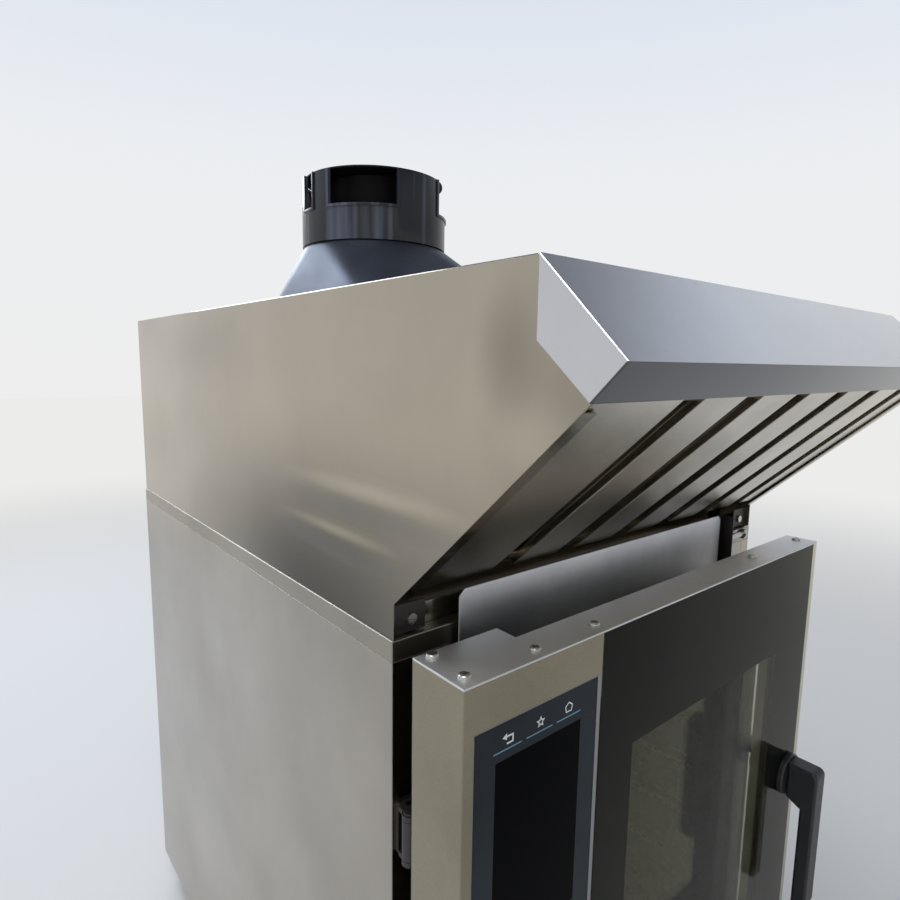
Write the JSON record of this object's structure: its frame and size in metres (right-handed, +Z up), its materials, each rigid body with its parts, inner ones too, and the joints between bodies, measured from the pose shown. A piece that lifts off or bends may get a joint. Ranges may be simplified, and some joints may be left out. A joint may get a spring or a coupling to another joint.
{
  "type": "countertop combi oven",
  "caption": "Stainless countertop combi oven with a side-hinged glass door, touch display, tray racks, circulation fan, extraction hood with a sloping grease filter and a round plastic chimney",
  "frame": {"origin": "on the floor plane, midway between the four feet", "axes": "+X to the right as the user sees the oven, +Y to the back, +Z up; the door faces -Y"},
  "size_m": [0.535, 0.883, 1.029],
  "materials": {
    "hood_steel": "mirror-like rolled stainless sheet with soft waves",
    "visor_steel": "rolled stainless sheet, blue-grey",
    "filter_steel": "stainless filter strips, lightly stained",
    "deflector_steel": "stainless sheet, blue-grey",
    "casing_steel": "mirror-like rolled stainless sheet",
    "door_steel": "satin stainless sheet, warm grey",
    "door_frame_steel": "satin stainless sheet",
    "cavity_steel": "pressed stainless steel",
    "rail_steel": "stainless sheet",
    "bezel_chrome": "bright bevelled edge",
    "screw_steel": "bright screws",
    "display_black": "glossy blue-black display glass",
    "circuit": "screen and circuit board",
    "door_glass": "black printed outer glass with a see-through window",
    "clear_glass": "clear inner glass",
    "gasket_rubber": "black silicone seal",
    "foot_rubber": "black rubber",
    "foot_zinc": "zinc-plated threaded stem and nut",
    "mineral_wool": "mineral wool jacket",
    "lamp": "milky lamp strip",
    "handle_plastic": "black heat-proof plastic",
    "chimney_plastic": "black moulded plastic, satin gloss",
    "motor_paint": "dark grey painted motor",
    "shaft_steel": "ground steel shaft",
    "heater_alloy": "dark heat-resistant tube",
    "electronics_box": "dark plastic housing",
    "valve_brass": "brass valve",
    "gland_plastic": "black nylon gland",
    "hood_wheel_metal": "pressed aluminium wheel"
  },
  "bodies": {
    "oven": {"cable_gland": "gland_plastic", "casing_back": "casing_steel", "casing_base": "casing_steel", "casing_left": "casing_steel", "casing_right": "casing_steel", "casing_screws": "screw_steel", "casing_top": "casing_steel", "cavity_liner": "cavity_steel", "cavity_studs": "cavity_steel", "chimney_cap": "chimney_plastic", "chimney_foot": "chimney_plastic", "chimney_ring": "chimney_plastic", "condensate_gutter": "filter_steel", "door_gasket": "gasket_rubber", "door_striker": "door_frame_steel", "drain_pipe": "cavity_steel", "fan_baffle": "cavity_steel", "fan_cradle": "rail_steel", "fan_motor": "motor_paint", "foot_pads": "foot_rubber", "foot_stems": "foot_zinc", "front_frame": "casing_steel", "heating_element": "heater_alloy", "hinge_brackets": "door_frame_steel", "hood_back": "hood_steel", "hood_brackets": "deflector_steel", "hood_motor": "motor_paint", "hood_roof": "hood_steel", "hood_side_left": "hood_steel", "hood_side_right": "hood_steel", "hood_visor": "visor_steel", "insulation_jacket": "mineral_wool", "power_box": "electronics_box", "steam_deflector": "deflector_steel", "steam_duct": "cavity_steel", "steam_pipe": "heater_alloy", "tray_rails": "rail_steel", "water_valve": "valve_brass"},
    "door": {"control_box": "door_steel", "display_bezel": "bezel_chrome", "display_glass": "display_black", "display_module": "circuit", "door_end_plates": "door_steel", "door_screws": "screw_steel", "outer_glass": "door_glass", "door_frame": "door_frame_steel", "inner_glass": "clear_glass", "glass_clips": "door_frame_steel", "lamp_strips": "lamp", "handle_boss": "handle_plastic", "hinge_leaves": "door_frame_steel"},
    "handle": {"handle_lever": "handle_plastic", "latch_cam": "door_frame_steel"},
    "fan": {"fan_wheel": "cavity_steel", "motor_shaft": "shaft_steel"},
    "hood_fan": {"hood_fan_wheel": "hood_wheel_metal"},
    "left_rack": {"rack_left": "cavity_steel"},
    "right_rack": {"rack_right": "cavity_steel"},
    "tray": {"drip_tray": "rail_steel"},
    "filter": {"grease_filter": "filter_steel"}
  },
  "joints": [
    {"name": "door_swing", "type": "hinge", "parent": "oven", "child": "door", "pos_m": [-0.2605, -0.346, 0.22], "axis": [0, 0, -1], "range_deg": [0, 120]},
    {"name": "handle_turn", "type": "hinge", "parent": "door", "child": "handle", "pos_m": [0.2405, -0.4105, 0.37], "axis": [0, 1, 0], "range_deg": [0, 45]},
    {"name": "fan_spin", "type": "hinge", "parent": "oven", "child": "fan", "pos_m": [0.0405, 0.0975, 0.35], "axis": [0, 1, 0], "continuous": true},
    {"name": "hood_fan_spin", "type": "hinge", "parent": "oven", "child": "hood_fan", "pos_m": [-0.1265, -0.0905, 0.839], "axis": [0, 0, 1], "continuous": true},
    {"name": "left_rack_lift", "type": "slide", "parent": "oven", "child": "left_rack", "axis": [0, 0, 1], "range_m": [0, 0.01]},
    {"name": "right_rack_lift", "type": "slide", "parent": "oven", "child": "right_rack", "axis": [0, 0, 1], "range_m": [0, 0.01]},
    {"name": "drip_tray_slide", "type": "slide", "parent": "oven", "child": "tray", "axis": [0, -1, 0], "range_m": [0, 0.05]},
    {"name": "filter_lift", "type": "slide", "parent": "oven", "child": "filter", "axis": [0, -0.7358, 0.6772], "range_m": [0, 0.01]}
  ]
}
